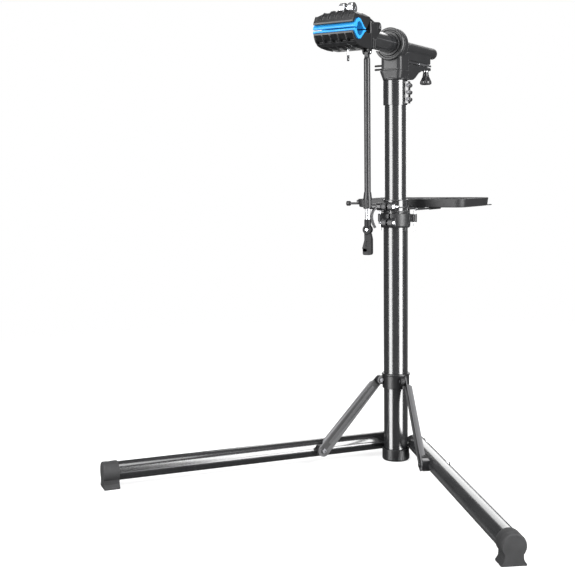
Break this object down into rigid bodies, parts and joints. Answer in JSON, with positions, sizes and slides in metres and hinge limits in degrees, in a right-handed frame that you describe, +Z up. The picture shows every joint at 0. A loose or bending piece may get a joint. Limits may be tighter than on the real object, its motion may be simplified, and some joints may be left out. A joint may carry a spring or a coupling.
{
  "type": "bicycle work stand",
  "caption": "Folding floor stand with a height-adjustable post, a turning clamp arm for a bicycle tube, a tool tray and a wheel steadying rod.",
  "frame": {"origin": "centre of the post cap's bottom face, on the floor", "axes": "+Z up along the post; the clamp arm points along -Y and the tool tray lies on the +Y side; the legs run towards -X-Y and +X-Y"},
  "size_m": [1.0462, 0.8739, 1.117],
  "materials": {
    "paint": "glossy dark charcoal powder coat",
    "casting": "moulded glass-filled plastic, satin",
    "plastic": "black moulded plastic, satin",
    "rubber": "matte moulded rubber",
    "liner": "soft blue rubber liner",
    "bright": "plated steel, bright",
    "steel": "pressed steel, dark"
  },
  "bodies": {
    "base": {"post_cap": "plastic", "lower_tube": "paint", "post_bush": "plastic", "height_collar": "casting", "height_skewer": "bright", "height_nut": "bright", "tray_collar": "casting", "tray_bolt": "bright", "tool_tray": "plastic", "tray_bracket": "steel", "left_tray_rod": "bright", "right_tray_rod": "bright", "left_hinge_bolt": "bright", "right_hinge_bolt": "bright"},
    "left_leg": {"left_leg_tube": "paint", "left_leg_plug": "plastic", "left_foot": "rubber", "left_brace_bolt": "bright", "left_brace_nut": "bright", "left_brace_spacer": "plastic"},
    "right_leg": {"right_leg_tube": "paint", "right_leg_plug": "plastic", "right_foot": "rubber", "right_brace_bolt": "bright", "right_brace_nut": "bright", "right_brace_spacer": "plastic"},
    "left_brace": {"left_brace": "steel"},
    "right_brace": {"right_brace": "steel"},
    "slider": {"brace_slider": "plastic", "left_slider_pin": "bright", "right_slider_pin": "bright"},
    "height_lever": {"height_lever": "plastic"},
    "mast": {"upper_tube": "paint", "head_sleeve": "paint", "sleeve_bolt_1": "bright", "sleeve_bolt_2": "bright", "sleeve_bolt_3": "bright", "head_casting": "casting", "neck_screw_1": "steel", "neck_screw_2": "steel"},
    "lock_knob": {"lock_knob": "plastic"},
    "arm": {"arm_dial": "casting", "arm_tube": "paint", "clamp_body": "casting", "lower_liner": "liner", "left_jaw_pin": "bright", "right_jaw_pin": "bright", "holder_pin": "bright", "clamp_spring": "bright"},
    "upper_jaw": {"upper_jaw": "casting", "upper_liner": "liner"},
    "clamp_rod": {"clamp_rod": "bright"},
    "rod_nut": {"rod_nut": "bright"},
    "cam_lever": {"cam_lever": "bright"},
    "holder": {"holder_outer_tube": "plastic"},
    "twist_lock": {"holder_twist_lock": "plastic"},
    "holder_inner": {"holder_inner_tube": "bright", "holder_end": "plastic", "hook_pin": "bright"},
    "hook": {"holder_hook": "plastic"}
  },
  "joints": [
    {"name": "left_leg_fold", "type": "hinge", "parent": "base", "child": "left_leg", "pos_m": [-0.04267, 0.0331, 0.038], "axis": [-0.7902, 0.6129, 0], "range_deg": [0, 76.8]},
    {"name": "right_leg_fold", "type": "hinge", "parent": "base", "child": "right_leg", "pos_m": [0.04267, 0.0331, 0.038], "axis": [-0.7902, -0.6129, 0], "range_deg": [0, 76.8]},
    {"name": "slider_travel", "type": "slide", "parent": "base", "child": "slider", "axis": [0, 0, 1], "range_m": [0, 0.2498]},
    {"name": "left_brace_swing", "type": "hinge", "parent": "left_leg", "child": "left_brace", "pos_m": [-0.13198, -0.14568, 0.038], "axis": [-0.7902, 0.6129, 0], "range_deg": [-118, 0]},
    {"name": "right_brace_swing", "type": "hinge", "parent": "right_leg", "child": "right_brace", "pos_m": [0.13198, -0.14568, 0.038], "axis": [-0.7902, -0.6129, 0], "range_deg": [-118, 0]},
    {"name": "height_lever_turn", "type": "hinge", "parent": "base", "child": "height_lever", "pos_m": [0, -0.046, 0.651], "axis": [-1, 0, 0], "range_deg": [0, 105]},
    {"name": "mast_height", "type": "slide", "parent": "base", "child": "mast", "axis": [0, 0, 1], "range_m": [0, 0.45]},
    {"name": "lock_knob_turn", "type": "hinge", "parent": "mast", "child": "lock_knob", "pos_m": [0, 0.189, 0.98], "axis": [0, 0, 1], "range_deg": [0, 300]},
    {"name": "arm_turn", "type": "hinge", "parent": "mast", "child": "arm", "pos_m": [0, 0, 1.048], "axis": [0, 1, 0], "range_deg": [-180, 180]},
    {"name": "jaw_open", "type": "hinge", "parent": "arm", "child": "upper_jaw", "pos_m": [0, -0.194, 1.065], "axis": [-1, 0, 0], "range_deg": [0, 25], "deforming": ["clamp_spring"]},
    {"name": "rod_tilt", "type": "hinge", "parent": "upper_jaw", "child": "clamp_rod", "pos_m": [0, -0.252, 1.1035], "axis": [-1, 0, 0], "range_deg": [-12.5, 0]},
    {"name": "nut_tilt", "type": "hinge", "parent": "arm", "child": "rod_nut", "pos_m": [0, -0.252, 1.028], "axis": [-1, 0, 0], "range_deg": [0, 12.9]},
    {"name": "cam_lever_turn", "type": "hinge", "parent": "clamp_rod", "child": "cam_lever", "pos_m": [0, -0.252, 1.1035], "axis": [1, 0, 0], "range_deg": [0, 150]},
    {"name": "holder_swing", "type": "hinge", "parent": "arm", "child": "holder", "pos_m": [0.034, -0.225, 1.007], "axis": [-1, 0, 0], "range_deg": [-8, 80]},
    {"name": "twist_lock_turn", "type": "hinge", "parent": "holder", "child": "twist_lock", "pos_m": [0.034, -0.225, 0.67], "axis": [0, 0, 1], "range_deg": [-90, 90]},
    {"name": "holder_extend", "type": "slide", "parent": "holder", "child": "holder_inner", "axis": [0, 0, -1], "range_m": [0, 0.25]},
    {"name": "hook_swing", "type": "hinge", "parent": "holder_inner", "child": "hook", "pos_m": [0.034, -0.225, 0.604], "axis": [0, 1, 0], "range_deg": [-80, 80]}
  ],
  "couplings": [
    {"joint": "right_leg_fold", "follows": "left_leg_fold", "ratio": 1},
    {"joint": "slider_travel", "follows": "left_leg_fold", "m_per_rad": 0.1862},
    {"joint": "left_brace_swing", "follows": "left_leg_fold", "ratio": -1.535},
    {"joint": "right_brace_swing", "follows": "left_leg_fold", "ratio": -1.535},
    {"joint": "rod_tilt", "follows": "jaw_open", "ratio": -0.492},
    {"joint": "nut_tilt", "follows": "jaw_open", "ratio": 0.508}
  ]
}
